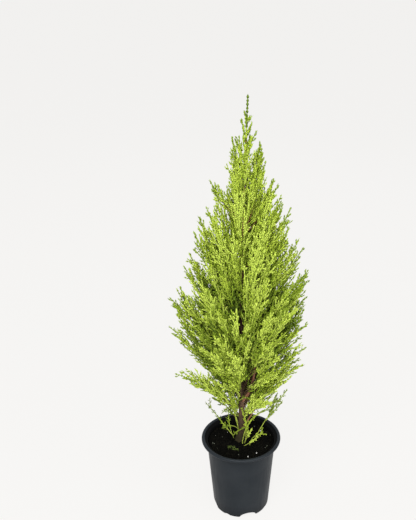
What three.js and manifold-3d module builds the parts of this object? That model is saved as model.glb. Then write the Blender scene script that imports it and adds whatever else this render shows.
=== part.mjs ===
// A young golden cypress in a round nursery pot: millimetres, +Z up, origin at the middle of the pot's
// underside. The pot stands on its feet and a middle pad. Compost fills it, and the trunk rises from a
// flat cut on the compost to the leader. Each limb leaves the trunk as a bare, tapering bough and ends
// inside its own plume-shaped mass of foliage. The masses are cut round the trunk, the boughs and each
// other, so that no two solids touch.
import * as THREE from "three";
import Module from "manifold-3d";
import { mergeVertices } from "three/addons/utils/BufferGeometryUtils.js";

// ---------------------------------------------------------------- driving dimensions
const GAP = 0.3; // clearance between neighbouring solids

const POT_HEIGHT = 132;
const RIM_RADIUS = 65;
const RIM_BEAD = 2.8; // radius of the rolled outer edge
const WALL = 1.5;
const WALL_TOP_RADIUS = 56.3; // outside of the wall, just under the rim
const WALL_FOOT_RADIUS = 46.3;
const FOOT_RADIUS = 43.8; // outside of the ring that it stands on
const FOOT_ROUNDING = 3.5;
const FLOOR_UNDERSIDE = 9.8; // the floor is raised above the feet
const FLOOR_THICKNESS = 1.8;
const PAD_RADIUS = 16; // middle pad, flush with the feet
const DRAIN_HOLES = 8;
const DRAIN_RADIUS = 3.5;
const DRAIN_CIRCLE = 29;
// Arches cut in the foot ring, so that water runs out: width, height and first heading in degrees.
const WIDE_ARCH = { width: 27, height: 9.3, heading: -75 };
const SMALL_ARCH = { width: 10, height: 3.4, heading: -120 };
const ARCH_REPEAT = 4;

const COMPOST_TOP = 123; // 9 mm below the rim
const COMPOST_DISH = 1.5; // the compost is lower at the wall
const COMPOST_FLAT = 16; // level patch round the trunk's foot

const TREE_HEIGHT = 559; // from the compost to the tip of the leader
const TRUNK_RADIUS = 5.2;
const ROOT_FLARE = 3.2; // extra radius at the flat cut
const FLARE_HEIGHT = 14;
const TRUNK_TIP_RADIUS = 0.6;
const CROWN_RADIUS = 108; // furthest reach of the limbs
const SWAY = 0.1; // shares by which the reach varies round the crown
const UNEVENNESS = 0.05;
const LIMBS = 24;
const LOWEST_TIP = 70; // height of the lowest and the highest limb's tip
const HIGHEST_TIP = 504;
const GOLDEN_ANGLE = 180 * (3 - Math.sqrt(5));
const FIRST_HEADING = 245;
const LOWEST_RISE = 36; // angle of the lowest limbs above level
const RISE_PER_MM = 0.0895; // upper limbs stand steeper

const SEAM = 0.5; // the masses' clearance from wood and from each other
const SIMPLER = 0.2; // how far a mass's cut surface may move when it is made simpler

// ---------------------------------------------------------------- solids
const TINY = 1e-6;
const wasm = await Module();
wasm.setup();

function toSolid(geometry) {
  const bare = geometry.clone();
  bare.deleteAttribute("normal");
  bare.deleteAttribute("uv");
  const merged = mergeVertices(bare, 1e-4);
  const solid = new wasm.Manifold(
    new wasm.Mesh({
      numProp: 3,
      vertProperties: merged.attributes.position.array,
      triVerts: new Uint32Array(merged.index.array),
    }),
  );
  if (solid.volume() > 0) return solid;
  throw new Error("a shape is inside out");
}

function toGeometry(solid) {
  const { vertProperties, triVerts } = solid.getMesh();
  const geometry = new THREE.BufferGeometry();
  geometry.setAttribute("position", new THREE.BufferAttribute(vertProperties, 3));
  geometry.setIndex(new THREE.BufferAttribute(triVerts, 1));
  return geometry.toNonIndexed();
}

// The largest piece of a cut solid, for when the cut has left crumbs beside it.
function largest(solid) {
  const pieces = solid.decompose();
  return pieces.reduce((a, b) => (b.volume() > a.volume() ? b : a));
}

const degrees = (angle) => (angle * Math.PI) / 180;
const mix = (a, b, t) => a + (b - a) * t;

// ---------------------------------------------------------------- materials
const black = new THREE.MeshStandardMaterial({ color: 0x2b3034, roughness: 0.5, metalness: 0 });
const compost = new THREE.MeshStandardMaterial({ color: 0x17130f, roughness: 0.95, metalness: 0 });
const bark = new THREE.MeshStandardMaterial({ color: 0x6b4030, roughness: 0.85, metalness: 0 });
const greenwood = new THREE.MeshStandardMaterial({ color: 0x7a5a34, roughness: 0.8, metalness: 0 });
const foliage = new THREE.MeshStandardMaterial({ color: 0x9dc22e, roughness: 0.8, metalness: 0 });

function namedMesh(name, solid, material) {
  const mesh = new THREE.Mesh(toGeometry(solid), material);
  mesh.geometry.computeVertexNormals();
  mesh.name = name;
  return mesh;
}

// ---------------------------------------------------------------- pot and compost
const wallRadius = (z) =>
  mix(WALL_FOOT_RADIUS, WALL_TOP_RADIUS, (z - FOOT_ROUNDING) / (POT_HEIGHT - 2 * RIM_BEAD - FOOT_ROUNDING));

// A closed profile of (radius, height) pairs, turned about Z.
function turned(profile, segments) {
  const points = profile.map(([radius, height]) => new THREE.Vector2(radius, height));
  return new THREE.LatheGeometry(points, segments).rotateX(Math.PI / 2);
}

function potProfile() {
  const underRim = POT_HEIGHT - 2 * RIM_BEAD;
  const beadAt = RIM_RADIUS - RIM_BEAD;
  const bead = [-60, 0, 60].map((angle) => [
    beadAt + RIM_BEAD * Math.cos(degrees(angle)),
    POT_HEIGHT - RIM_BEAD + RIM_BEAD * Math.sin(degrees(angle)),
  ]);
  const floorTop = FLOOR_UNDERSIDE + FLOOR_THICKNESS;
  return [
    [0, 0],
    [PAD_RADIUS, 0],
    [PAD_RADIUS + 1, FLOOR_UNDERSIDE],
    [wallRadius(FLOOR_UNDERSIDE) - 2 * WALL, FLOOR_UNDERSIDE],
    [FOOT_RADIUS - 1.6 * WALL, 0],
    [FOOT_RADIUS, 0],
    [WALL_FOOT_RADIUS, FOOT_ROUNDING],
    [WALL_TOP_RADIUS, underRim],
    [beadAt - 0.8, underRim],
    ...bead,
    [WALL_TOP_RADIUS + 0.9, POT_HEIGHT - 0.8],
    [WALL_TOP_RADIUS - WALL, underRim],
    [wallRadius(floorTop + 3) - WALL, floorTop + 3],
    [wallRadius(floorTop) - 2 * WALL, floorTop],
    [0, floorTop],
  ];
}

// A cutter with a flat foot and an arched top, lying across the foot ring at a heading.
function archCutter({ width, height }, heading) {
  const arch = new THREE.Shape();
  arch.moveTo(width / 2, -1);
  arch.absellipse(0, 0, width / 2, height, 0, Math.PI, false, 0);
  arch.lineTo(-width / 2, -1);
  const depth = 14;
  return new THREE.ExtrudeGeometry(arch, { depth, bevelEnabled: false, curveSegments: 5 })
    .rotateX(Math.PI / 2)
    .rotateZ(Math.PI / 2)
    .translate(FOOT_RADIUS - depth / 2 - 1, 0, 0)
    .rotateZ(degrees(heading));
}

function drainCutter(heading) {
  return new THREE.CylinderGeometry(DRAIN_RADIUS, DRAIN_RADIUS, 3 * FLOOR_THICKNESS, 8)
    .rotateX(Math.PI / 2)
    .translate(DRAIN_CIRCLE, 0, FLOOR_UNDERSIDE + FLOOR_THICKNESS / 2)
    .rotateZ(degrees(heading));
}

function makePot() {
  let pot = toSolid(turned(potProfile(), 36));
  for (let i = 0; i < ARCH_REPEAT; i++) {
    for (const arch of [WIDE_ARCH, SMALL_ARCH]) {
      pot = pot.subtract(toSolid(archCutter(arch, arch.heading + (360 / ARCH_REPEAT) * i)));
    }
  }
  for (let i = 0; i < DRAIN_HOLES; i++) {
    pot = pot.subtract(toSolid(drainCutter((360 / DRAIN_HOLES) * (i + 0.5))));
  }
  return pot;
}

function makeCompost() {
  const foot = FLOOR_UNDERSIDE + FLOOR_THICKNESS + GAP;
  const edge = COMPOST_TOP - COMPOST_DISH;
  const inside = (z) => wallRadius(z) - WALL - 2 * GAP;
  return toSolid(
    turned(
      [
        [0, foot],
        [inside(foot) - WALL - 1, foot],
        [inside(foot + 4), foot + 4],
        [inside(edge), edge],
        [COMPOST_FLAT, COMPOST_TOP],
        [0, COMPOST_TOP],
      ],
      28,
    ),
  );
}

// ---------------------------------------------------------------- limbs: unit shapes bent along a line
// A unit shape's length becomes the way along the line, and its girth the radius at that place. Its
// section lies in the directions across and up. A larger copy, for cutting, is fatter and longer by extra.
function bend(unit, line, { across, upOf }, radiusAt, extra) {
  const round = unit.type === "SphereGeometry";
  const position = unit.getAttribute("position");
  for (let i = 0; i < position.count; i++) {
    const [x, y, z] = [position.getX(i), position.getY(i), position.getZ(i)];
    const t = round ? 1 - Math.acos(THREE.MathUtils.clamp(y, -1, 1)) / Math.PI : y + 0.5;
    const turn = Math.atan2(z, x);
    const radius = Math.hypot(x, z) > TINY ? radiusAt(t, turn) + extra : 0;
    const centre = line.getPoint(t);
    if (t < TINY) centre.addScaledVector(line.getTangent(0), -extra);
    if (t > 1 - TINY) centre.addScaledVector(line.getTangent(1), extra);
    centre.addScaledVector(across, radius * Math.cos(turn));
    centre.addScaledVector(upOf(t), -radius * Math.sin(turn));
    position.setXYZ(i, centre.x, centre.y, centre.z);
  }
  return unit;
}

// Section of a limb that stays near one upright plane: across is level, and up is square to the line.
function limbSection(line, heading) {
  const across = new THREE.Vector3(-Math.sin(heading), Math.cos(heading), 0);
  return { across, upOf: (t) => new THREE.Vector3().crossVectors(line.getTangent(t), across).normalize() };
}

function tube(line, heading, radiusAt, extra, sides, rings) {
  const unit = new THREE.CylinderGeometry(1, 1, 1, sides, rings);
  return toSolid(bend(unit, line, limbSection(line, heading), radiusAt, extra));
}

function plume(line, heading, radiusAt, extra, sides, rings) {
  const unit = new THREE.SphereGeometry(1, sides, rings);
  return toSolid(bend(unit, line, limbSection(line, heading), radiusAt, extra));
}

// ---------------------------------------------------------------- trunk and second stem
// The trunk stands almost straight, and its leader bends a little towards +X.
const trunkLine = new THREE.CatmullRomCurve3([
  new THREE.Vector3(-1.5, 0, 0),
  new THREE.Vector3(1.5, 0, 0.15 * TREE_HEIGHT),
  new THREE.Vector3(0, 1, 0.3 * TREE_HEIGHT),
  new THREE.Vector3(1.8, 0, 0.52 * TREE_HEIGHT),
  new THREE.Vector3(3, -1, 0.7 * TREE_HEIGHT),
  new THREE.Vector3(9, 0, TREE_HEIGHT - 6),
]);
const trunkAt = (height) => trunkLine.getPoint(THREE.MathUtils.clamp(height / TREE_HEIGHT, 0, 1));

function trunkRadius(t, turn) {
  const flare = Math.exp((-t * TREE_HEIGHT) / FLARE_HEIGHT);
  const lobes = 1 + 0.3 * flare * Math.cos(4 * turn);
  return mix(TRUNK_RADIUS, TRUNK_TIP_RADIUS, t ** 0.8) + ROOT_FLARE * flare * lobes;
}

function makeTrunk(extra = 0) {
  const levelSection = { across: new THREE.Vector3(1, 0, 0), upOf: () => new THREE.Vector3(0, 1, 0) };
  const unit = new THREE.CylinderGeometry(1, 1, 1, 9, 15);
  // Rings crowd towards the foot, where the flare is.
  const position = unit.getAttribute("position");
  for (let i = 0; i < position.count; i++) position.setY(i, (position.getY(i) + 0.5) ** 1.5 - 0.5);
  return toSolid(bend(unit, trunkLine, levelSection, trunkRadius, extra).translate(0, 0, GAP));
}

// The second stem forks off low on the +X side and climbs beside the trunk.
const SECOND_FORK = 76;
const SECOND_HEADING = degrees(-22);
const secondLine = new THREE.CatmullRomCurve3([
  new THREE.Vector3(1, 0, SECOND_FORK),
  new THREE.Vector3(13, -5, SECOND_FORK + 18),
  new THREE.Vector3(20, -8, SECOND_FORK + 50),
  new THREE.Vector3(25, -10, SECOND_FORK + 110),
  new THREE.Vector3(33, -12, SECOND_FORK + 190),
]);

function makeSecondStem(extra = 0) {
  return tube(secondLine, SECOND_HEADING, (t) => mix(2.9, 0.9, t), extra, 6, 6);
}

// ---------------------------------------------------------------- the crown's outline
// Reach of the limbs' tips at a height: a spindle, widest at a little over a third of the height.
const crownReach = (height) => CROWN_RADIUS * Math.sin(Math.PI * (height / TREE_HEIGHT) ** 0.72) ** 1.15;

// A limb from its foot to its tip, bowed upwards by a share of its length, with a bare stretch and then
// a mass of foliage of the given half width.
function limb({ foot, tip, heading, bow, bare, halfWidth }) {
  const length = foot.distanceTo(tip);
  const outward = new THREE.Vector3(Math.cos(heading), Math.sin(heading), 0);
  const knee = foot.clone().lerp(tip, 0.5);
  knee.addScaledVector(outward, -bow * length).add(new THREE.Vector3(0, 0, bow * length));
  const line = new THREE.QuadraticBezierCurve3(foot, knee, tip);
  return { line, length, heading, bare, halfWidth, thick: 1.1 + 0.006 * length };
}

// The limbs wind up the trunk by the golden angle. Low limbs bow outwards and high ones rise steeply.
// Every tip is a little in or out of the outline, which leans to -X low down and to +X above the middle.
function crownLimb(number) {
  const i = number - 1;
  const height = mix(LOWEST_TIP, HIGHEST_TIP, i / (LIMBS - 1));
  const heading = degrees(FIRST_HEADING + GOLDEN_ANGLE * i);
  const sway = SWAY * Math.cos(heading) * Math.sin((2 * Math.PI * height) / TREE_HEIGHT - Math.PI);
  const reach = crownReach(height) * (1 + sway + UNEVENNESS * Math.sin(2.4 * i + 1));
  const rise = degrees(LOWEST_RISE + RISE_PER_MM * (height - 100));
  const foot = trunkAt(Math.max(height - reach * Math.tan(rise), 10));
  const tip = trunkAt(height).add(new THREE.Vector3(reach * Math.cos(heading), reach * Math.sin(heading), 0));
  tip.z = height;
  return limb({
    foot,
    tip,
    heading,
    bow: mix(0.11, -0.03, height / TREE_HEIGHT),
    bare: 0.2,
    halfWidth: 5 + 0.17 * reach + 0.045 * foot.distanceTo(tip),
  });
}

// Three short shoots from the trunk's foot, over the compost, that are bare for half their length.
const BASAL_SHOOTS = [
  { heading: degrees(178), leaves: 6, reach: 50, rise: 50 },
  { heading: degrees(-68), leaves: 9, reach: 22, rise: 38 },
  { heading: degrees(-20), leaves: 9, reach: 42, rise: 16 },
];

function basalLimb({ heading, leaves, reach, rise }) {
  const foot = trunkAt(leaves);
  const tip = new THREE.Vector3(reach * Math.cos(heading), reach * Math.sin(heading), rise).add(foot);
  return limb({ foot, tip, heading, bow: 0.03, bare: 0.42, halfWidth: 7.5 });
}

// The tops of the trunk and of the second stem are masses with no bough of their own.
function leader() {
  const foot = trunkAt(TREE_HEIGHT - 130);
  const tip = trunkAt(TREE_HEIGHT).setZ(TREE_HEIGHT);
  return limb({ foot, tip, heading: 0, bow: 0, bare: 0.05, halfWidth: 16 });
}

function secondLeader() {
  const foot = secondLine.getPoint(0.6);
  const tip = secondLine.getPoint(1).add(new THREE.Vector3(20, -8, 62));
  return limb({ foot, tip, heading: SECOND_HEADING, bow: -0.03, bare: 0.05, halfWidth: 20 });
}

// ---------------------------------------------------------------- boughs and masses
const BOUGH_INSIDE = 0.07; // share of its limb that a bough runs on inside the mass

// Part of a limb's line, from one share of its way to another.
function stretch(line, from, to) {
  const points = Array.from({ length: 7 }, (_, i) => line.getPoint(mix(from, to, i / 6)));
  return new THREE.CatmullRomCurve3(points);
}

function makeBough({ line, heading, thick, bare }, extra = 0) {
  const radius = (t) => mix(thick, 0.7 * thick, t);
  return tube(stretch(line, 0, bare + BOUGH_INSIDE), heading, radius, extra, 5, 2);
}

// A mass is broad low down and pointed at its tip, with lumps that wind round it.
function makeMass({ line, heading, bare, halfWidth, number }, extra = 0) {
  const radius = (t, turn) => {
    const profile = Math.sin(Math.PI * t ** 0.75) ** 0.75;
    const winding = 0.13 * Math.sin(2 * turn + 1.7 * number + 6 * t);
    const swelling = 0.09 * Math.cos(5 * t * Math.PI + number);
    return halfWidth * profile * (1 + winding + swelling);
  };
  return plume(stretch(line, bare, 1), heading, radius, extra, 8, 7);
}

// ---------------------------------------------------------------- the tree
function buildTree() {
  const plant = new THREE.Group();
  plant.position.z = COMPOST_TOP;

  const nearTrunk = makeTrunk(GAP);
  plant.add(namedMesh("trunk", makeTrunk(), bark));
  plant.add(namedMesh("second_stem", largest(makeSecondStem().subtract(nearTrunk)), bark));

  const limbs = [
    ...BASAL_SHOOTS.map((shoot, i) => ({
      ...basalLimb(shoot),
      number: i + 1,
      wood: `basal_twig_${i + 1}`,
      leaf: `basal_foliage_${i + 1}`,
      colour: greenwood,
    })),
    ...Array.from({ length: LIMBS }, (_, i) => ({
      ...crownLimb(i + 1),
      number: i + 1,
      wood: `bough_${String(i + 1).padStart(2, "0")}`,
      leaf: `foliage_${String(i + 1).padStart(2, "0")}`,
      colour: bark,
    })),
  ];

  // Wood first: each bough is cut back to the stems and to the boughs before it.
  let wood = nearTrunk.add(makeSecondStem(GAP));
  for (const one of limbs) {
    const bough = largest(makeBough(one).subtract(wood));
    wood = wood.add(makeBough(one, GAP));
    plant.add(namedMesh(one.wood, bough, one.colour));
  }

  // Then the masses, each cut round the wood and round the masses before it.
  const tops = [
    { ...leader(), number: 3, leaf: "crown_tip" },
    { ...secondLeader(), number: 5, leaf: "second_tip" },
  ];
  let filled = makeTrunk(SEAM).add(makeSecondStem(SEAM));
  for (const one of limbs) filled = filled.add(makeBough(one, SEAM));
  for (const one of [...limbs, ...tops]) {
    const mass = largest(makeMass(one).subtract(filled)).asOriginal().simplify(SIMPLER);
    filled = filled.add(makeMass(one, SEAM));
    plant.add(namedMesh(one.leaf, mass, foliage));
  }
  return plant;
}

const cypress = new THREE.Group();
cypress.name = "potted_cypress";
cypress.add(namedMesh("pot", makePot(), black));
cypress.add(namedMesh("compost", makeCompost(), compost));
cypress.add(buildTree());

export default cypress;
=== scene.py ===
# %% [markdown]
# A young golden cypress in a black nursery pot.
#
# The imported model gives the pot, the compost, the trunk, twenty-four boughs and a plain closed mass for
# each plume of foliage. Here those masses give way to what a cypress really grows: limbs that carry
# sprays, sprays that carry twiglets, and twiglets clothed in small pointed leaves. A growth rule with a
# fixed seed makes all of it from arrays, so the plant is the same at every run and whole from every side.

# %% Load the frame
from dataclasses import dataclass, fields

import bpy
import numpy as np
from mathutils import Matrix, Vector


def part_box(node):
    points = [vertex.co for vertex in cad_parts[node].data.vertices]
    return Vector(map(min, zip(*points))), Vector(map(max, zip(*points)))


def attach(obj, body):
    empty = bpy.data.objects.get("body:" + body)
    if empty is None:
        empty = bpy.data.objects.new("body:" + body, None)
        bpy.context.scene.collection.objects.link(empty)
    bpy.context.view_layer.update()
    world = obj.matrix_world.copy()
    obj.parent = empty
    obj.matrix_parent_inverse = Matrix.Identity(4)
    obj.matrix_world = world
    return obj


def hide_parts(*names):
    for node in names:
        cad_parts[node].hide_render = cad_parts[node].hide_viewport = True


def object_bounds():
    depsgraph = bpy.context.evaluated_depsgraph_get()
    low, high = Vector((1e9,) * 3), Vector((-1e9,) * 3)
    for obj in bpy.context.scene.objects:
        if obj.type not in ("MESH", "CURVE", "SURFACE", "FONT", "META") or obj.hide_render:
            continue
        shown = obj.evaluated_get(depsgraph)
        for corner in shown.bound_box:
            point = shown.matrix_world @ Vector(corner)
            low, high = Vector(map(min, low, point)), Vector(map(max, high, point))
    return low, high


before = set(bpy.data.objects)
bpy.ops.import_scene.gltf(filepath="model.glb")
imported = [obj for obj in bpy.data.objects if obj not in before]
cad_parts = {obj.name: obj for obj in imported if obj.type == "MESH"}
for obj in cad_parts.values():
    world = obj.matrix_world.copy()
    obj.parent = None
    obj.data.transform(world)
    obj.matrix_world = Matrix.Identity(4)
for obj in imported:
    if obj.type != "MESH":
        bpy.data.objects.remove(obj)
cad_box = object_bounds()
MM = 0.001
print("CAD box:", [round(value, 4) for corner in cad_box for value in corner])

# %% [markdown]
# The camera stands a little above the crown and looks down into the pot. A normal lens from a little
# over a metre keeps the pot and the crown in their natural proportions. A small sideways shift sets the
# plant off centre. Turning the camera instead would tilt the pot's sides.

# %% Camera
CAMERA_PLACE = (0.0, -0.954, 0.847)
LOOK_DOWN = 22.8  # degrees
LENS = 48.46  # mm, on the usual 36 mm wide sensor
SHIFT = -0.0635  # of the picture's width

camera = bpy.data.objects.new("camera", bpy.data.cameras.new("camera"))
bpy.context.scene.collection.objects.link(camera)
bpy.context.scene.camera = camera
camera.location = CAMERA_PLACE
camera.rotation_euler = (np.pi / 2 - np.radians(LOOK_DOWN), 0, 0)
camera.data.lens = LENS
camera.data.shift_x = SHIFT
print(f"camera {np.hypot(*CAMERA_PLACE[1:]):.2f} m from the pot's foot, looking {LOOK_DOWN} degrees down")

# %% [markdown]
# Soft studio light. A large lamp high on the left of the camera models the sprays, a weaker one on the
# right opens their shadows, and a faint one behind parts the crown from the background. Lamps wider than
# the crown cast no hard shadows, which a sun or a point lamp would.

# %% Lamps
def soft_lamp(name, place, size, power):
    """A square lamp at a place, turned towards the middle of the crown."""
    lamp = bpy.data.lights.new(name, "AREA")
    lamp.shape = "SQUARE"
    lamp.size = size
    lamp.energy = power
    holder = bpy.data.objects.new(name, lamp)
    bpy.context.scene.collection.objects.link(holder)
    middle = (cad_box[0] + cad_box[1]) / 2
    holder.location = place
    holder.rotation_euler = (middle - holder.location).to_track_quat("-Z", "Y").to_euler()
    print(f"{name} lamp: {power} W, {size} m wide")


soft_lamp("key", (-0.5, -2.0, 2.0), 2.2, 114)
soft_lamp("fill", (1.6, -1.4, 1.2), 1.8, 38)
soft_lamp("back", (0.3, 1.8, 1.6), 1.8, 8)

# %% [markdown]
# A pale sky fills in. The camera sees it in the background's own shade, and the plant is lit by a
# slightly bluer and weaker one, so that the background stays pale without washing out the leaves.

# %% Sky
PALE = (0.905, 0.895, 0.880, 1)
SKY_LIGHT = (0.95, 0.97, 1.0, 1)
SKY_STRENGTH = 0.60

sky = bpy.data.worlds.new("sky")
bpy.context.scene.world = sky
sky.use_nodes = True
sky_nodes = sky.node_tree.nodes
sky_links = sky.node_tree.links
shown = sky_nodes.new("ShaderNodeBackground")
shown.inputs["Color"].default_value = PALE
lighting = sky_nodes["Background"]
lighting.inputs["Color"].default_value = SKY_LIGHT
lighting.inputs["Strength"].default_value = SKY_STRENGTH
chooser = sky_nodes.new("ShaderNodeMixShader")
sky_links.new(sky_nodes.new("ShaderNodeLightPath").outputs["Is Camera Ray"], chooser.inputs["Fac"])
sky_links.new(lighting.outputs[0], chooser.inputs[1])
sky_links.new(shown.outputs[0], chooser.inputs[2])
sky_links.new(chooser.outputs[0], sky_nodes["World Output"].inputs["Surface"])
bpy.context.scene.view_settings.view_transform = "Standard"
print(f"sky light of strength {SKY_STRENGTH}")

# %% [markdown]
# The floor glows by itself, as a backlit white table does, so it stays near white with only a
# faint shadow under the pot. A plain white floor would need so much light that the leaves burn out.

# %% Floor
FLOOR_GLOW = 0.95
FLOOR_SIZE = 60  # metres, so that its edge lies out of sight

floor_paint = bpy.data.materials.new("floor_paint")
floor_paint.use_nodes = True
paint = floor_paint.node_tree.nodes["Principled BSDF"]
paint.inputs["Base Color"].default_value = (0.045, 0.045, 0.044, 1)
paint.inputs["Roughness"].default_value = 0.9
paint.inputs["Specular IOR Level"].default_value = 0
paint.inputs["Emission Color"].default_value = PALE
paint.inputs["Emission Strength"].default_value = FLOOR_GLOW
bpy.ops.mesh.primitive_plane_add(size=FLOOR_SIZE)
floor = bpy.context.object
floor.name = "floor"
floor.data.materials.append(floor_paint)
print(f"floor {FLOOR_SIZE} m wide, at height 0")

# %% [markdown]
# Everything below is worked out as arrays. Small helpers do most of it: unit vectors, values between
# two others, a soft random relief made of sine waves, and the quads that join a grid of points.

# %% Array helpers
GOLDEN_TURN = np.pi * (3 - np.sqrt(5))
UPWARDS = np.array([0.0, 0.0, 1.0])
NEARLY_UP = np.array([0.03, 0.05, 1.0])  # leans a little, so that no shoot runs along it


def unit(vectors):
    """Each vector divided by its own length."""
    return vectors / np.linalg.norm(vectors, axis=-1, keepdims=True)


def mix(start, end, share):
    """The value that lies at a share of the way from start to end."""
    return start + (end - start) * share


def ripples(points, size, seed, waves=18):
    """Soft relief of about -1 to 1: sine waves in random directions, roughly `size` long, added up."""
    rng = np.random.default_rng(seed)
    number = unit(rng.normal(size=(waves, 3))) * (2 * np.pi / (size * rng.uniform(0.6, 1.6, (waves, 1))))
    phase = rng.uniform(0, 2 * np.pi, waves)
    return np.sin(points @ number.T + phase).sum(-1) / np.sqrt(waves)


def quads(rows, columns):
    """Corner numbers of the quads of a grid of points, whose last column joins its first."""
    row, column = np.meshgrid(np.arange(rows - 1), np.arange(columns), indexing="ij")
    beside = (column + 1) % columns
    corners = [row * columns + column, row * columns + beside]
    corners += [(row + 1) * columns + beside, (row + 1) * columns + column]
    return np.stack(corners, -1).reshape(-1, 4)


# %% [markdown]
# A piece is a mesh filled straight from arrays. Lists of points and faces would do for the pot, but
# the leaves have hundreds of thousands of corners, and arrays fill them in a moment. Each piece rides
# on the one body of the part, and carries the one material that it is given.

# %% Pieces from arrays
def make_piece(name, points, faces, material, smooth=True):
    """An object from points and from arrays of faces, one array for each number of corners."""
    points = np.asarray(points, np.float32).reshape(-1, 3)
    corners = np.concatenate([group.ravel() for group in faces]).astype(np.int32)
    sides = np.concatenate([np.full(len(group), group.shape[1]) for group in faces])
    mesh = bpy.data.meshes.new(name)
    mesh.vertices.add(len(points))
    mesh.vertices.foreach_set("co", points.ravel())
    mesh.loops.add(len(corners))
    mesh.loops.foreach_set("vertex_index", corners)
    mesh.polygons.add(len(sides))
    mesh.polygons.foreach_set("loop_start", (np.cumsum(sides) - sides).astype(np.int32))
    mesh.polygons.foreach_set("use_smooth", np.full(len(sides), smooth))
    mesh.update(calc_edges=True)
    mesh.materials.append(material)
    piece = bpy.data.objects.new(name, mesh)
    bpy.context.scene.collection.objects.link(piece)
    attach(piece, "root")
    print(f"{name}: {int((sides - 2).sum())} triangles")
    return piece


# %% [markdown]
# Most finishes here are made from noise on Object coordinates, which stay put in every view. An
# unwrapped picture could show more, but thousands of sprays have no good unwrapping.
# One method adds a node, sets its inputs and gives back one of its outputs, and the others are short
# names for the nodes that the finishes use.

# %% Material helpers
MIX_COLOURS = (6, 7)  # the Mix node's inputs for colours, which share their names with others


class Finish:
    """A node material under construction: its tree, its Principled shader and its Object coordinates."""

    def __init__(self, name, roughness, specular=0.5):
        """A new material with one even roughness and one strength of its highlights."""
        self.material = bpy.data.materials.new(name)
        self.material.use_nodes = True
        self.tree = self.material.node_tree
        self.shader = self.tree.nodes["Principled BSDF"]
        self.shader.inputs["Roughness"].default_value = roughness
        self.shader.inputs["Specular IOR Level"].default_value = specular
        self.place = self.node("TexCoord", "Object", {})

    def node(self, kind, output, inputs, **settings):
        """One output of a new node, whose inputs are plain values or sockets to link."""
        node = self.tree.nodes.new("ShaderNode" + kind)
        for name, value in settings.items():
            setattr(node, name, value)
        for key, value in inputs.items():
            if isinstance(value, bpy.types.NodeSocket):
                self.tree.links.new(value, node.inputs[key])
            else:
                node.inputs[key].default_value = value
        return node.outputs[output]

    def link(self, output, name):
        """Lets an output drive one of the shader's own inputs."""
        self.tree.links.new(output, self.shader.inputs[name])

    def stretched(self, scale):
        """Object coordinates squeezed or stretched along each axis."""
        return self.node("Mapping", "Vector", {"Vector": self.place, "Scale": scale})

    def noise(self, scale, detail=3, roughness=0.55, vector=None):
        """Cloudy noise with about `scale` blotches to a metre."""
        inputs = {"Vector": vector or self.place, "Scale": scale, "Detail": detail, "Roughness": roughness}
        return self.node("TexNoise", "Fac", inputs)

    def ramp(self, value, stops):
        """Colours at given values of a number between 0 and 1, blended in between."""
        output = self.node("ValToRGB", "Color", {"Fac": value})
        elements = output.node.color_ramp.elements
        while len(elements) < len(stops):
            elements.new(0.5)
        for element, (position, colour) in zip(elements, stops):
            element.position = position
            element.color = (*colour, 1)
        return output

    def spread(self, value, start, end, low, high):
        """A number that goes from low to high while the value goes from start to end."""
        inputs = {"Value": value, "From Min": start, "From Max": end, "To Min": low, "To Max": high}
        return self.node("MapRange", "Result", inputs)

    def math(self, operation, first, second):
        """One step of arithmetic on sockets or plain numbers."""
        return self.node("Math", 0, {0: first, 1: second}, operation=operation)

    def across_and_up(self):
        """Distance from the upright axis, and height, both in metres."""
        level = self.node("VectorMath", 0, {0: self.place, 1: (1, 1, 0)}, operation="MULTIPLY")
        away = self.node("VectorMath", "Value", {0: level}, operation="LENGTH")
        return away, self.node("SeparateXYZ", "Z", {0: self.place})

    def blend(self, share, first, second):
        """The first colour where the share is 0, and the second where it is 1."""
        inputs = {"Factor": share}
        for key, colour in zip(MIX_COLOURS, (first, second)):
            inputs[key] = (*colour, 1) if isinstance(colour, tuple) else colour
        return self.node("Mix", 2, inputs, data_type="RGBA")

    def bump(self, height, strength, depth):
        """Fine relief that a noise output gives, too small to be worth its own triangles."""
        inputs = {"Height": height, "Strength": strength, "Distance": depth}
        self.link(self.node("Bump", "Normal", inputs), "Normal")

    def colour(self, output):
        """Lets an output be the colour of the surface."""
        self.link(output, "Base Color")


# %% [markdown]
# The pot is moulded from thin black plastic: a tapered wall with a rolled rim, a floor held clear of
# the ground, and a foot ring with arches that let water out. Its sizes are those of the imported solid,
# whose box gives the height and the rim.

# %% Sizes of the pot
_, pot_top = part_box("pot")
POT_HEIGHT = pot_top.z
RIM_RADIUS = pot_top.x
RIM_INSIDE = 58.9 * MM
BEAD = 2.8 * MM  # radius of the rim's rolled edge
UNDER_RIM = POT_HEIGHT - 2 * BEAD
RIM_FILLET = 1.2 * MM  # rounds the corner between the wall and the rim
WALL = 1.5 * MM
WALL_TOP = 56.3 * MM
WALL_FOOT = 46.3 * MM
FOOT_OUTSIDE = 43.8 * MM
FOOT_ROUNDING = 3.5 * MM
FLOOR_UNDERSIDE = 9.8 * MM
FLOOR_TOP = 11.6 * MM
PAD = 16 * MM  # radius of the middle pad, which is flush with the foot ring
ARCH_ZONE = 12 * MM  # the arches squeeze the foot up to this height
ARCHES = [(27 * MM, 9.3 * MM, np.radians(-75)), (10 * MM, 3.4 * MM, np.radians(-120))]
ARCH_REPEAT = 4
POT_SIDES = 256
print(f"pot {POT_HEIGHT / MM:.0f} mm tall, {2 * RIM_RADIUS / MM:.0f} mm across the rim")

# %% [markdown]
# Three formulas give the pot's outline: the outside of the wall, the inside of the foot ring, and how
# far the arches lift the ring's lower edge at each heading.

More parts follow.
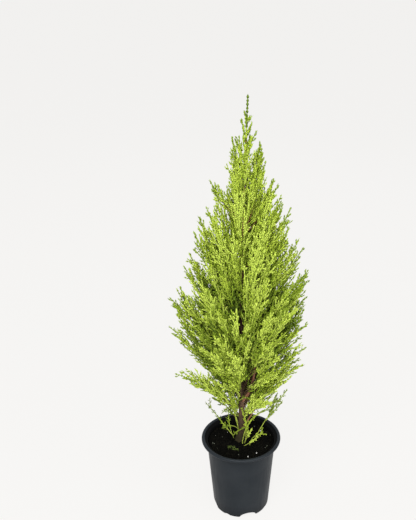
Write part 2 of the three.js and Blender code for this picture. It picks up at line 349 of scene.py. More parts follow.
# %% Wall, foot ring and arches
def wall_radius(height):
    """Outside of the wall: straight from foot to rim, and rounded in to the foot's edge below."""
    straight = mix(WALL_FOOT, WALL_TOP, (height - FOOT_ROUNDING) / (UNDER_RIM - FOOT_ROUNDING))
    dip = np.clip(1 - height / FOOT_ROUNDING, 0, 1)
    return straight - (WALL_FOOT - FOOT_OUTSIDE) * (1 - np.sqrt(1 - dip**2))


def foot_inside(height):
    """Inside of the foot ring, which thickens towards the floor."""
    return mix(FOOT_OUTSIDE - 1.6 * WALL, wall_radius(FLOOR_UNDERSIDE) - 2 * WALL, height / FLOOR_UNDERSIDE)


def arch_lift(heading):
    """Height of the foot's edge: half an ellipse over each arch, and nothing between them."""
    lift = np.zeros_like(heading)
    for width, height, first in ARCHES:
        for number in range(ARCH_REPEAT):
            turn = heading - first - number * 2 * np.pi / ARCH_REPEAT
            away = FOOT_OUTSIDE * np.sin(turn)
            inside = np.clip(1 - (2 * away / width) ** 2, 0, 1) * (np.cos(turn) > 0)
            lift = np.maximum(lift, height * np.sqrt(inside))
    return lift


# %% [markdown]
# A lathe could turn the pot, but its foot's edge rises and falls. So the surface is a grid of profile by
# heading. Most of the profile is the same all round: the underside, and everything above the arches.

# %% Profiles of the pot
def arc(centre, radius, start, end, count):
    """Points on an arc round a centre: radius times the cosine and the sine of angles in degrees."""
    angle = np.radians(np.linspace(start, end, count))
    return np.array(centre) + radius * np.column_stack([np.cos(angle), np.sin(angle)])


def on_wall(heights, inset=0):
    """Radius and height of points on the outside of the wall, or an inset within it."""
    return np.column_stack([wall_radius(heights) - inset, heights])


def underside_profile():
    """Radius and height from the middle pad out under the floor to the foot ring."""
    pad = [(0, 0), (0.35 * PAD, 0), (PAD - 1 * MM, 0), (PAD, 0.6 * MM)]
    step = [(PAD + 1 * MM, FLOOR_UNDERSIDE - 0.8 * MM), (PAD + 1.8 * MM, FLOOR_UNDERSIDE)]
    floor_edge = (foot_inside(FLOOR_UNDERSIDE) - MM, FLOOR_UNDERSIDE)
    return np.vstack([pad, step, np.linspace((PAD + 6 * MM, FLOOR_UNDERSIDE), floor_edge, 5)])


def upper_profile():
    """Radius and height from the arches up the wall, over the rim, and down inside to the floor."""
    wall = on_wall(np.linspace(ARCH_ZONE, UNDER_RIM - RIM_FILLET, 30)[1:])
    under_rim = arc((WALL_TOP + RIM_FILLET, UNDER_RIM - RIM_FILLET), RIM_FILLET, 180, 90, 5)
    bead = arc((RIM_RADIUS - BEAD, POT_HEIGHT - BEAD), BEAD, -90, 165, 21)
    lip = [(RIM_INSIDE, POT_HEIGHT - 3 * MM), (RIM_INSIDE - 2.2 * MM, POT_HEIGHT - 4.1 * MM)]
    inner_edge = arc((WALL_TOP, UNDER_RIM - 0.3 * MM), WALL, 120, 180, 4)
    inner_wall = on_wall(np.linspace(UNDER_RIM - 2.5 * MM, FLOOR_TOP + 3 * MM, 16), inset=WALL)
    floor_top = [(wall_radius(FLOOR_TOP) - 2 * WALL, FLOOR_TOP), (0.5 * PAD, FLOOR_TOP), (0, FLOOR_TOP)]
    return np.vstack([wall, under_rim, bead, lip, inner_edge, inner_wall, floor_top])


def turned(profile, columns):
    """A profile of (radius, height) carried round: its radii and its heights by row and column."""
    grid = np.array(profile)[:, None, :] * np.ones((1, columns, 1))
    return grid[..., 0], grid[..., 1]


print(f"the profile has {len(underside_profile())} points below the floor, {len(upper_profile())} above")

# %% [markdown]
# Only the foot changes with the heading. Wherever an arch stands, the part of the profile below it is
# squeezed up over the arch. Cutting the arches from a plain ring with a boolean would leave long thin
# triangles, and their edges could not be rounded so simply.

# %% The foot ring, and the whole grid
EDGE_LEVEL = 0.02  # share of the arches' zone that the foot's rounded edge takes up


def round_axis(radius, heading, height):
    """Points at a distance and a heading from the upright axis, and at a height."""
    return np.stack([radius * np.cos(heading), radius * np.sin(heading), height], -1)


def foot_grid(heading):
    """Radius and height of the foot ring: up its inside, then its edge, then its outside.

    Each row lies a share of the way from the ring's inside to its outside, at a level from the arch
    to the top of the arches' zone.
    """
    edge = np.linspace(0.1, 0.9, 7)
    share = np.concatenate([np.zeros(9), edge, np.ones(14)])[:, None]
    going_down, going_up = np.linspace(1, EDGE_LEVEL, 9), np.linspace(EDGE_LEVEL, 1, 14) ** 1.3
    level = np.concatenate([going_down, EDGE_LEVEL * (2 * edge - 1) ** 4, going_up])[:, None]
    lift = arch_lift(heading)[None, :]
    height = lift + level * (ARCH_ZONE - lift)
    radius = mix(foot_inside(np.minimum(height, FLOOR_UNDERSIDE)), wall_radius(height), share)
    # The inside of the ring reaches only up to the floor's underside.
    return radius, np.where(share == 0, np.minimum(height, FLOOR_UNDERSIDE), height)


def pot_grid():
    """Points of the pot by profile and heading, from the middle of the underside round to the floor."""
    heading = np.linspace(0, 2 * np.pi, POT_SIDES, endpoint=False)
    parts = [turned(underside_profile(), POT_SIDES), foot_grid(heading), turned(upper_profile(), POT_SIDES)]
    radius, height = (np.concatenate(rows) for rows in zip(*parts))
    return round_axis(radius, heading, height)


def closed_lathe(grid):
    """A grid whose first and last rows are poles, as points and faces with one point at each pole."""
    rows, columns, _ = grid.shape
    body = grid[1:-1].reshape(-1, 3)
    points = np.concatenate([body, grid[0].mean(0)[None], grid[-1].mean(0)[None]])
    side = np.arange(columns)
    beside = (side + 1) % columns
    top = (rows - 3) * columns
    first_pole = np.stack([beside, side, np.full(columns, len(body))], -1)
    last_pole = np.stack([top + side, top + beside, np.full(columns, len(body) + 1)], -1)
    return points, [quads(rows - 2, columns), np.concatenate([first_pole, last_pole])]


# %% [markdown]
# Black nursery plastic is satin, a little blue, and never quite even: it has faint upright draw marks
# from the mould and a dusting of compost. Painted shade darkens the foot towards the bottom. The inside
# is painted near black, partly for the shade that falls in the pot and partly for the compost's stain:
# every point above the floor within the slanting wall, and above the wall within the rim's bead. A mask
# from distance and height draws that line, and needs no picture.

# %% Pot plastic
SLATE = (0.0110, 0.0138, 0.0165), (0.0155, 0.0185, 0.0215)
DUST = (0.045, 0.042, 0.038)
# painted shade: the foot is darker towards the bottom
FOOT_SHADE = (0.003, 0.0036, 0.004)
# painted shade inside the pot, together with the compost's stain
INSIDE_SHADE_AND_STAIN = (0.0006, 0.0006, 0.0006)
FOOT_SHADE_TOP = 24 * MM


def pot_plastic():
    """Slate with draw marks and dust, painted shade at the foot, and painted shade with stain inside."""
    finish = Finish("pot_plastic", 0.42, 0.10)
    drawn = finish.noise(260, 2, vector=finish.stretched((1, 1, 0.04)))
    slate = finish.ramp(finish.noise(22, 4), [(0.35, SLATE[0]), (0.68, SLATE[1])])
    dust = finish.ramp(finish.noise(420, 5, 0.7), [(0.62, (0, 0, 0)), (0.8, (0.35, 0.35, 0.35))])
    away, height = finish.across_and_up()
    # Painted shade: darker towards the foot.
    darkened = finish.spread(height, FOOT_SHADE_TOP, 0.0, 0, 0.6)
    outside = finish.blend(darkened, finish.blend(dust, slate, DUST), FOOT_SHADE)
    # Painted shade inside the pot, together with the compost's stain.
    shade_and_stain = shade_and_stain_mask(finish, away, height)
    finish.colour(finish.blend(shade_and_stain, outside, INSIDE_SHADE_AND_STAIN))
    dull = finish.math("MULTIPLY", shade_and_stain, 0.85)
    satin = finish.spread(drawn, 0.3, 0.7, 0.36, 0.52)
    finish.link(finish.math("MAXIMUM", dull, satin), "Roughness")
    finish.bump(drawn, 0.12, 0.2 * MM)
    return finish.material


def shade_and_stain_mask(finish, away, height):
    """1 on the pot's inner surfaces above its floor, and 0 elsewhere."""
    slant = (WALL_TOP - WALL_FOOT) / (UNDER_RIM - FOOT_ROUNDING)
    within_wall = finish.math("ADD", finish.math("MULTIPLY", height, slant), WALL_FOOT - WALL)
    above_wall = finish.math("GREATER_THAN", height, UNDER_RIM + 0.4 * MM)
    within_rim = finish.math("MULTIPLY", above_wall, RIM_INSIDE + 0.7 * MM)
    limit = finish.math("MAXIMUM", within_wall, within_rim)
    above_floor = finish.math("GREATER_THAN", height, FLOOR_TOP - 0.4 * MM)
    return finish.math("MULTIPLY", finish.math("LESS_THAN", away, limit), above_floor)


# %% [markdown]
# Eight drain holes go through the floor. They are round and upright, so a boolean cut with eight prisms
# is simpler than a grid that runs round each hole. The cutters are removed once they have cut.

# %% Pot with its drain holes
DRAIN_HOLES = 8
DRAIN_SIDES = 20
DRAIN_RADIUS = 3.5 * MM
DRAIN_CIRCLE = 29 * MM


def drain_cutters():
    """Upright prisms through the floor, as one mesh object."""
    turn = np.linspace(0, 2 * np.pi, DRAIN_SIDES, endpoint=False)
    heading = 2 * np.pi / DRAIN_HOLES * (np.arange(DRAIN_HOLES) + 0.5)
    middle = round_axis(DRAIN_CIRCLE, heading, 0 * heading)[:, None, None]
    ends = np.array([FLOOR_UNDERSIDE - 2 * MM, FLOOR_TOP + 2 * MM])[:, None, None] * UPWARDS
    points = round_axis(DRAIN_RADIUS, turn, 0 * turn) + middle + ends
    start = 2 * DRAIN_SIDES * np.arange(DRAIN_HOLES)[:, None, None]
    ring = np.arange(DRAIN_SIDES)
    sides = (quads(2, DRAIN_SIDES) + start).reshape(-1, 4)
    caps = (np.stack([ring[::-1], ring + DRAIN_SIDES]) + start).reshape(-1, DRAIN_SIDES)
    mesh = bpy.data.meshes.new("drain_cutters")
    mesh.from_pydata(points.reshape(-1, 3).tolist(), [], sides.tolist() + caps.tolist())
    return bpy.data.objects.new("drain_cutters", mesh)


points, faces = closed_lathe(pot_grid())
pot = make_piece("nursery_pot", points, faces, pot_plastic())
cutters = drain_cutters()
bpy.context.scene.collection.objects.link(cutters)
holes = pot.modifiers.new("drain_holes", "BOOLEAN")
holes.object = cutters
holes.solver = "EXACT"
bpy.context.view_layer.objects.active = pot
bpy.ops.object.modifier_apply(modifier="drain_holes")
bpy.data.objects.remove(cutters)
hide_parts("pot")
print(f"{DRAIN_HOLES} drain holes cut: {len(pot.data.polygons)} faces")

# %% [markdown]
# The compost is a dark, crumbly bed that sits 9 mm below the rim. It climbs a little round the trunk,
# and a small heap lies near the wall in front. The bed is one closed lathe whose top has random relief.
# A displacement modifier could do the same, but a formula also tells where loose things rest on it.

# %% Compost bed
compost_low, compost_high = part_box("compost")
BED_RADIUS = compost_high.x
BED_TOP = compost_high.z
BED_SIDES = 176
BED_RINGS = 64
DISH = 1.5 * MM  # the bed is lower at the wall
LUMPS = [(1.1, 13, 3), (0.55, 4, 4)]  # height and size in millimetres, and seed
MOUNDS = [(0, 0, 2.2, 11), (11, -50, 3.6, 7)]  # x, y, height and radius in millimetres


def bed_height(x, y):
    """Height of the compost: a shallow dish, with lumps of two sizes and two low mounds added."""
    away = np.hypot(x, y)
    place = np.stack([x, y, 0 * x], -1)
    lumps = sum(height * MM * ripples(place, size * MM, seed) for height, size, seed in LUMPS)
    mounds = 0
    for middle_x, middle_y, height, radius in np.array(MOUNDS) * MM:
        mounds = mounds + height * np.exp(-((x - middle_x) ** 2 + (y - middle_y) ** 2) / radius**2)
    rough = np.clip((BED_RADIUS - away) / (3 * MM), 0.15, 1)
    return BED_TOP - DISH * (away / BED_RADIUS) ** 2 + mounds + rough * lumps


def on_bed(away, heading):
    """Points of the bed's surface, at distances and headings from its middle."""
    x, y = away * np.cos(heading), away * np.sin(heading)
    return np.stack([x, y, bed_height(x, y)], -1)


def compost_bed():
    """Closed bed: the compost's own underside and edge, with the uneven top carried over it."""
    heading = np.linspace(0, 2 * np.pi, BED_SIDES, endpoint=False)
    foot = compost_low.z
    inside = wall_radius(foot) - WALL - 2.1 * MM
    edge = (wall_radius(foot + 4 * MM) - WALL - 0.6 * MM, foot + 4 * MM)
    away, height = turned([(0, foot), (inside - WALL, foot), edge], BED_SIDES)
    top_radius = BED_RADIUS * np.linspace(1, 0, BED_RINGS)[:, None] * np.ones((1, BED_SIDES))
    return np.concatenate([round_axis(away, heading, height), on_bed(top_radius, heading)])


# %% [markdown]
# Wet peat is nearly black, with crumbs a shade lighter. Clods, chips and moss share the same finish in
# colours of their own: a fine grain between a dark and a light tone, darker again in patches.

# %% Compost finish and bed
PEAT = (0.0006, 0.0006, 0.0005), (0.0042, 0.0038, 0.0030)


def compost_finish(name, dark, light):
    """A rough, matt grain between two tones, with patches of the darker one."""
    finish = Finish(name, 0.95, 0.03)
    grain = finish.noise(520, 5, 0.65)
    patches = finish.spread(finish.noise(60, 3), 0.3, 0.7, 0, 0.6)
    crumbs = finish.ramp(grain, [(0.35, dark), (0.72, light)])
    finish.colour(finish.blend(patches, crumbs, dark))
    finish.bump(grain, 0.6, 0.8 * MM)
    return finish.material


points, faces = closed_lathe(compost_bed())
bed = make_piece("compost_bed", points, faces, compost_finish("peat", *PEAT))
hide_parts("compost")

# %% [markdown]
# Loose crumbs lie on the bed. A crumb is an icosahedron pushed out of round, twenty faces in all. Each
# kind of crumb is one joined mesh: the array of places times the array of one crumb's corners.
# Particles would scatter them too, but the exported model drops particles.

# %% Crumbs
PHI = (1 + np.sqrt(5)) / 2
CRUMB_POINTS = unit(np.array([
    (-1, PHI, 0), (1, PHI, 0), (-1, -PHI, 0), (1, -PHI, 0), (0, -1, PHI), (0, 1, PHI),
    (0, -1, -PHI), (0, 1, -PHI), (PHI, 0, -1), (PHI, 0, 1), (-PHI, 0, -1), (-PHI, 0, 1),
]))
CRUMB_FACES = np.array([
    (0, 11, 5), (0, 5, 1), (0, 1, 7), (0, 7, 10), (0, 10, 11), (1, 5, 9), (5, 11, 4), (11, 10, 2),
    (10, 7, 6), (7, 1, 8), (3, 9, 4), (3, 4, 2), (3, 2, 6), (3, 6, 8), (3, 8, 9), (4, 9, 5),
    (2, 4, 11), (6, 2, 10), (8, 6, 7), (9, 8, 1),
])
CLODS = 1900
CLEAR_OF_TRUNK = 9 * MM
CLOD_TONES = (0.0010, 0.0010, 0.0008), (0.0090, 0.0080, 0.0055)


def crumbs(places, sizes, rng):
    """Points and faces of one lump at each place, every corner pushed in or out at random."""
    shape = CRUMB_POINTS * rng.uniform(0.65, 1.3, (len(places), 12, 1))
    shape = shape * rng.uniform(0.7, 1.2, (len(places), 1, 3))
    points = places[:, None] + shape * sizes[:, None, None]
    faces = CRUMB_FACES + 12 * np.arange(len(places))[:, None, None]
    return points, [faces.reshape(-1, 3)]


rng = np.random.default_rng(11)
away = np.sqrt(rng.uniform(CLEAR_OF_TRUNK**2, (BED_RADIUS - 2 * MM) ** 2, CLODS))  # even by area
places = on_bed(away, rng.uniform(0, 2 * np.pi, CLODS))
points, faces = crumbs(places, rng.gamma(4, 0.24, CLODS) * MM, rng)
clod_finish = compost_finish("clods", *CLOD_TONES)
make_piece("compost_clods", points, faces, clod_finish, smooth=False)

# %% [markdown]
# White perlite, grey chips and tufts of moss stand out against the dark compost, so the ones in front
# are listed one by one and the rest follow round. Each row gives a heading in degrees, and a distance
# from the middle and a size in millimetres.

# %% Perlite, chips and moss
PERLITE = [
    (-52, 40.7, 1.15), (-77, 49.5, 0.85), (165, 44, 0.6), (0, 48, 0.6),
    (35, 40, 0.9), (80, 36, 1.0), (118, 44, 0.8), (140, 30, 0.6),
]
GREY_CHIPS = [
    (-168, 47.5, 1.6), (-166, 45, 1.0), (-96, 36.6, 1.1), (-22, 46, 1.5), (-27, 44, 1.0),
    (-151, 44, 0.9), (16, 51, 1.0), (166, 32, 1.2), (60, 45, 1.3),
]
MOSS = [(-136, 26.5, 1.9), (-119, 26, 2.2), (-105, 26.5, 2.1), (100, 33, 1.8), (20, 30, 1.4)]
MOSS_BLADES = 40  # in each tuft
CHIP_TONES = (0.030, 0.032, 0.025), (0.160, 0.170, 0.130)
MOSS_TONES = (0.030, 0.045, 0.010), (0.150, 0.200, 0.045)


def perlite_finish():
    """Chalky white, a shade darker in its pores."""
    finish = Finish("perlite", 0.9, 0.2)
    grain = finish.noise(900, 3)
    finish.colour(finish.ramp(grain, [(0.3, (0.42, 0.40, 0.36)), (0.7, (0.85, 0.84, 0.80))]))
    finish.bump(grain, 0.4, 0.3 * MM)
    return finish.material


def placed(rows):
    """Places on the bed, and sizes in metres, from rows of heading, distance and size."""
    heading, away, size = np.array(rows, float).T
    return on_bed(away * MM, np.radians(heading)), size * MM


grains, grain_sizes = placed(PERLITE)
points, faces = crumbs(grains + UPWARDS * 0.7 * MM, grain_sizes, rng)
make_piece("perlite", points, faces, perlite_finish(), smooth=False)

chips, chip_sizes = placed(GREY_CHIPS)
points, faces = crumbs(chips + UPWARDS * 0.3 * MM, chip_sizes, rng)
chip_finish = compost_finish("grey_chips", *CHIP_TONES)
make_piece("grey_chips", points, faces, chip_finish, smooth=False)

tufts, tuft_sizes = placed(MOSS)
blades = np.repeat(tufts, MOSS_BLADES, axis=0)
blades += 0.85 * np.repeat(tuft_sizes, MOSS_BLADES)[:, None] * rng.normal(size=blades.shape)
blades[:, 2] = bed_height(blades[:, 0], blades[:, 1]) + rng.uniform(0, 1, len(blades)) * MM
points, faces = crumbs(blades, rng.uniform(0.45, 0.8, len(blades)) * MM, rng)
make_piece("moss", points, faces, compost_finish("moss", *MOSS_TONES), smooth=False)

# %% [markdown]
# The stems are read back from the frame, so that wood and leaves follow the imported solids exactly. The
# trunk and the second stem stand upright, so a polynomial in height fits their middle lines, and
# another fits their girth.

# %% Stems from the frame
def node_points(node):
    """The different corners of a CAD node, in metres."""
    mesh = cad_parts[node].data
    flat = np.empty(3 * len(mesh.vertices))
    mesh.vertices.foreach_get("co", flat)
    return np.unique(flat.reshape(-1, 3).round(6), axis=0)


THINNEST_STEM = 0.45 * MM


class Stem:
    """An upright stem: its middle line as x and y by height, and its radius by height."""

    def __init__(self, node, degree):
        """Fits polynomials by least squares to the corners of a CAD node."""
        points = node_points(node)
        self.low, self.high = points[:, 2].min(), points[:, 2].max()
        share = self.share(points[:, 2])
        self.across = np.polyfit(share, points[:, :2], degree)
        away = np.linalg.norm(points[:, :2] - self.line(points[:, 2])[:, :2], axis=1)
        on_bark = (away > 0.3 * MM) & (share > 0.05)  # not the middles of the end caps, nor the flare
        self.girth = np.polyfit(share[on_bark], away[on_bark], 2)

    def share(self, height):
        """How far up the stem a height lies, from 0 to 1."""
        return (height - self.low) / (self.high - self.low)

    def line(self, height):
        """Points of the middle line at the given heights."""
        share = np.clip(self.share(height), 0, 1)
        powers = share[:, None] ** np.arange(len(self.across) - 1, -1, -1)
        return np.column_stack([powers @ self.across, height])

    def radius(self, height):
        """Radius of the wood at the given heights."""
        return np.maximum(np.polyval(self.girth, self.share(height)), THINNEST_STEM)


trunk = Stem("trunk", 6)
second = Stem("second_stem", 4)
crown_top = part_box("crown_tip")[1].z
GROUND = trunk.low
print(f"trunk {trunk.low:.3f} to {trunk.high:.3f} m, crown top {crown_top:.3f} m")

# %% [markdown]
# Every shoot of the tree, from limb to twiglet, is a parabola: a foot, a way to go, and a bend that
# grows with the square of the share gone. Three arrays then hold thousands of shoots, and a point or a
# direction on any of them is one line of arithmetic. Curve objects would bend more freely, but thousands
# of them would be slow.

# %% Shoots as parabolas
@dataclass
class Shoots:
    """Many shoots, one to a row. At share s of its way, a shoot is at foot + s way + s² bend."""

    foot: np.ndarray
    way: np.ndarray
    bend: np.ndarray
    spray: np.ndarray  # number of the spray that it belongs to

    def at(self, row, share):
        """Points of the shoots in the given rows, each at its share of the way."""
        share = np.asarray(share)[..., None]
        return self.foot[row] + share * self.way[row] + share**2 * self.bend[row]

    def direction(self, row, share):
        """Unit directions at the same places: the formula's own slope, way + 2 s bend."""
        return unit(self.way[row] + 2 * np.asarray(share)[..., None] * self.bend[row])

    def length(self):
        """Straight distance from each foot to its tip."""
        return np.linalg.norm(self.way + self.bend, axis=1)

    def only(self, rows):
        """The shoots in the given rows."""
        return Shoots(self.foot[rows], self.way[rows], self.bend[rows], self.spray[rows])

    def tips(self):
        """The ends of the shoots."""
        return self.foot + self.way + self.bend


def joined(*groups):
    """Several groups of shoots as one."""
    names = [field.name for field in fields(Shoots)]
    return Shoots(*(np.concatenate([getattr(group, name) for group in groups]) for name in names))


def through(foot, middle, tip):
    """Parabolas from foot to tip through a point between them."""
    share = np.linalg.norm(middle - foot, axis=1, keepdims=True)
    share = share / (share + np.linalg.norm(tip - middle, axis=1, keepdims=True))
    bend = ((middle - foot) / share - (tip - foot)) / (share - 1)
    return Shoots(foot, tip - foot - bend, bend, np.arange(len(foot)))


# %% [markdown]
# A limb is the parabola through three points that its two nodes give: where its bough meets the trunk,
# the bough's far end, and the furthest corner of its mass. So each plume of the finished tree fills the
# place of its own mass.

# %% Main limbs
def limb_points(wood, mass):
    """Foot on the trunk's middle line, far end of the bough, and tip of the mass."""
    bough, leaves = node_points(wood), node_points(mass)
    near = bough[np.argmin(np.linalg.norm((bough - trunk.line(bough[:, 2]))[:, :2], axis=1))]
    tip = leaves[np.argmax(np.linalg.norm(leaves - near, axis=1))]
    along = (bough - near) @ unit(tip - near)
    end = bough[along > along.max() - 1.3 * MM].mean(0)
    start = bough[along < along.min() + 2 * MM].mean(0)
    inside = 1.2 * trunk.radius(start[2:])
    return start + unit(start - end) * inside, end, tip


numbers = [f"{number:02d}" for number in range(1, 25)]
ends = np.array([limb_points(f"bough_{number}", f"foliage_{number}") for number in numbers])
main_limbs = through(ends[:, 0], ends[:, 1], ends[:, 2])
print(f"{len(numbers)} limbs, {main_limbs.length().min():.3f} to {main_limbs.length().max():.3f} m long")

# %% [markdown]
# The crown's outline is what the boughs' tips say: how far out they reach and how steeply they climb, by
# height. The shoots that follow are measured against it.

# %% The crown's outline
tips = main_limbs.tips()
order = np.argsort(tips[:, 2])
from_trunk = (tips - trunk.line(tips[:, 2]))[order]
climb = (tips - main_limbs.foot)[order]
tip_heights = tips[order, 2]
tip_reach = np.hypot(from_trunk[:, 0], from_trunk[:, 1])
tip_slope = climb[:, 2] / np.hypot(climb[:, 0], climb[:, 1])


def reach_at(height):
    """Radius of the crown at a height, from the boughs' tips, closing to nothing at its top."""
    heights = np.append(tip_heights, crown_top)
    return np.interp(height, heights, np.append(tip_reach, 3 * MM))


print(f"the crown is widest, {tip_reach.max():.3f} m, at {tip_heights[np.argmax(tip_reach)]:.3f} m")

# %% [markdown]
# Twenty-four boughs carry the outline, but a real crown has many more, shorter limbs between them.
# These follow the rule that the boughs show: the reach and the slope at a height are interpolated
# between the boughs' own, and each limb starts a golden turn round from the one before. Where the crown
# is wide it needs more of them, so their heights are dealt out by its girth. The crown's skirt hangs
# lower at the right and the back than at the left and in front, where the trunk stands bare, and the
# crown is a little fuller at the right.

# %% Limbs between the boughs
INNER_LIMBS = 138
FIRST_INNER = 100  # limbs are numbered: main ones from 0, then these, then shoulders and leaders
SKIRT = 28 * MM  # height from the lowest bough's tip to the lowest inner limb's
HIGHER_IN_FRONT = 45 * MM
HIGHER_AT_LEFT = 16 * MM
FULLER_AT_RIGHT = 0.08  # share of the reach
SLIM_FOOT = 130 * MM  # over this height the limbs grow to their full reach
BACK_LIMIT = 82 * MM  # no tip reaches further back from the pot's axis
LOWEST_FOOT = 30 * MM  # above the compost
BARE_LEADER = 48 * MM  # no limb ends so near the crown's tip


def inner_limbs(count, seed):
    """Limbs between the boughs, from the trunk to part of the way to the crown's outline."""
    rng = np.random.default_rng(seed)
    number = np.arange(count)
    levels = np.linspace(tip_heights[0] + SKIRT, crown_top - BARE_LEADER, 200)
    girth = np.cumsum(reach_at(levels) + 5 * MM)
    height = np.interp((number + 0.5) / count, girth / girth[-1], levels)
    heading = 1.1 + GOLDEN_TURN * number + rng.normal(0, 0.15, count)
    outward = round_axis(1, heading, 0 * heading)
    reach = reach_at(height) * mix(0.45, 1.06, rng.uniform(0, 1, count) ** 0.65)
    reach *= mix(0.72, 1, np.clip((height - tip_heights[0]) / SLIM_FOOT, 0, 1))
    reach *= 1 + FULLER_AT_RIGHT * outward[:, 0]
    slope = np.interp(height, tip_heights, tip_slope) * rng.uniform(0.85, 1.2, count)
    tip = trunk.line(height) + reach[:, None] * outward
    tip[:, 1] = np.minimum(tip[:, 1], BACK_LIMIT)
    foot = trunk.line(np.maximum(height - reach * slope, GROUND + LOWEST_FOOT))
    # Low limbs set out level and turn up, and the highest bow a little the other way.
    bow = mix(0.2, -0.06, (height - GROUND) / (crown_top - GROUND)) * np.linalg.norm(tip - foot, axis=1)
    bend = bow[:, None] * (outward - UPWARDS)
    skirt = SKIRT + HIGHER_IN_FRONT * np.maximum(-outward[:, 1], 0)
    skirt += HIGHER_AT_LEFT * np.maximum(-outward[:, 0], 0)
    above_skirt = height > tip_heights[0] + skirt
    return Shoots(foot, tip - foot - bend, bend, FIRST_INNER + number).only(above_skirt)


# %% [markdown]
# One rule makes every order of branching. Side shoots stand along their parent at an even spacing,
# each a golden turn round from the one before. Each leaves at an acute angle, bends back towards its
# parent's direction and up to the light, and is as long as what is left of its parent allows. Geometry
# Nodes could scatter copies of one spray, but then no two would differ in length and bend as these do.

# %% Side shoots
SPRAY_CODE = 1000  # a spray's number is its limb's number times this, plus its own


def dealt(count):
    """For each of the children: its parent's row, and its own number on that parent."""
    row = np.repeat(np.arange(len(count)), count)
    return row, np.arange(len(row)) - np.repeat(np.cumsum(count) - count, count)


def frame_round(direction):
    """Two directions square to each given one: the first level, the second on its upper side."""
    across = unit(np.cross(NEARLY_UP, direction))
    return across, np.cross(direction, across)


def off_to_a_side(direction, turn):
    """A direction square to each given one, at an angle round it."""
    across, over = frame_round(direction)
    return np.cos(turn)[:, None] * across + np.sin(turn)[:, None] * over


def side_shoots(parents, spacing, first, bare_tip, angle, size_from, rise, seed, own_spray=False):
    """Side shoots of each parent, from a share of its way to a distance from its tip.

    size_from turns the length of parent beyond a side shoot into the side shoot's own length.
    """
    rng = np.random.default_rng(seed)
    whole = parents.length()
    first = np.broadcast_to(first, len(whole))
    last = np.maximum(1 - bare_tip / whole, first + 0.05)
    count = np.maximum((whole * (last - first) / spacing).astype(int), 1)
    row, number = dealt(count)
    share = first[row] + (last - first)[row] * (number + rng.uniform(0.15, 0.85, len(row))) / count[row]
    turn = number * GOLDEN_TURN + 1.7 * row + rng.normal(0, 0.3, len(row))
    direction = parents.direction(row, share)
    outward = off_to_a_side(direction, turn)
    tilt = (angle + rng.normal(0, 0.13, len(row)))[:, None]
    size = (size_from((1 - share) * whole[row]) * rng.uniform(0.75, 1.2, len(row)))[:, None]
    way = size * (np.cos(tilt) * direction + np.sin(tilt) * outward)
    bend = size * (0.14 * (direction - outward) + rise * UPWARDS)
    spray = SPRAY_CODE * parents.spray[row] + number if own_spray else parents.spray[row]
    return Shoots(parents.at(row, share), way, bend, spray)


def spray_length(left):
    """A side spray is a slender whip, not quite half as long as what is left of its limb."""
    return 4 * MM + 0.42 * left


def leader_spray_length(left):
    """Below its bare spike, the leader's sprays widen quickly."""
    return 0.42 * left - 5 * MM


def twiglet_length(left):
    """Twiglets are stubs near a tip, and about three times as long from 50 mm down."""
    return 5 * MM + 9 * MM * np.minimum(left / (50 * MM), 1)


# %% [markdown]
# Three more kinds of limb. The leader goes on from the trunk to the crown's tip, and the second stem has
# a leader of its own. Shoulders are limbs that stand out from the crown's outline. A rule would put them
# anywhere, so they are listed: each row is the tip of one, in millimetres, and its foot lies on the
# trunk, as far below the tip as a steep limb needs.

# %% Leaders and shoulders
SHOULDERS = [
    (-43, -4, 568), (-34, -12, 562), (52, -2, 562), (46, 10, 566),
    (70, -4, 526), (84, 0, 478), (96, -6, 424), (94, -12, 368),
    (-101, -4, 376), (-97, 8, 394), (-90, -16, 408),
]
SHOULDER_SLOPE = 1.5
SHOULDER_BOW = (0.06, 0.06, -0.05)  # outwards and down, as shares of the way
FIRST_SHOULDER = 880
LEADER = 900
SECOND_LEADER = 901

foot, middle, tip = trunk.line(crown_top - np.array([125, 60, 0]) * MM)[:, None]
leader = through(foot, middle, tip)
leader.spray[:] = LEADER

second_top = node_points("second_tip")
second_tip = second_top[np.argmax(second_top[:, 2])][None]
second_foot = second.line(np.array([mix(second.low, second.high, 0.75)]))
second_leader = Shoots(second_foot, second_tip - second_foot, 0 * second_tip, np.array([SECOND_LEADER]))

tip = np.array(SHOULDERS) * MM
foot = trunk.line(tip[:, 2] - SHOULDER_SLOPE * np.hypot(tip[:, 0], tip[:, 1]))
shoulders = through(foot, mix(foot, tip, 0.5) + (tip - foot) * SHOULDER_BOW, tip)
shoulders.spray[:] = FIRST_SHOULDER + np.arange(len(tip))
upper_limbs = main_limbs.only(slice(1, None))  # the lowest one joins the shoots at the foot
limbs = joined(upper_limbs, inner_limbs(INNER_LIMBS, 21), shoulders, second_leader)
print(f"{len(limbs.foot)} limbs and a leader")

# %% [markdown]
# In front, the foliage parts here and there, and the stems show through. Each row gives one parting on
# the upright plane of the trunk: from and to in height, left and right of the trunk, in millimetres.
# A shoot is in the way if the line of sight through it meets the plane inside a parting, and then the
# whole shoot is left out. Cutting the gap out of the foliage would leave sliced leaves.

# %% Partings
PARTINGS = [
    (200, 236, -3, 9), (230, 263, 12, 24), (322, 350, -3, 2), (406, 428, -2, 2), (476, 512, -1.6, 1.2),
]
IN_FRONT = -3 * MM


def parted(points):
    """True for points that stand before the trunk, as seen from the front, where a parting should be."""
    eye = np.array(CAMERA_PLACE)
    past = (points - eye) * (eye[1] / (eye[1] - points[:, 1]))[:, None] + eye
    beside = past[:, 0] - trunk.line(past[:, 2])[:, 0]
    hidden = np.zeros(len(points), bool)
    for low, high, left, right in np.array(PARTINGS) * MM:
        hidden |= (past[:, 2] > low) & (past[:, 2] < high) & (beside > left) & (beside < right)
    return hidden & (points[:, 1] < IN_FRONT)


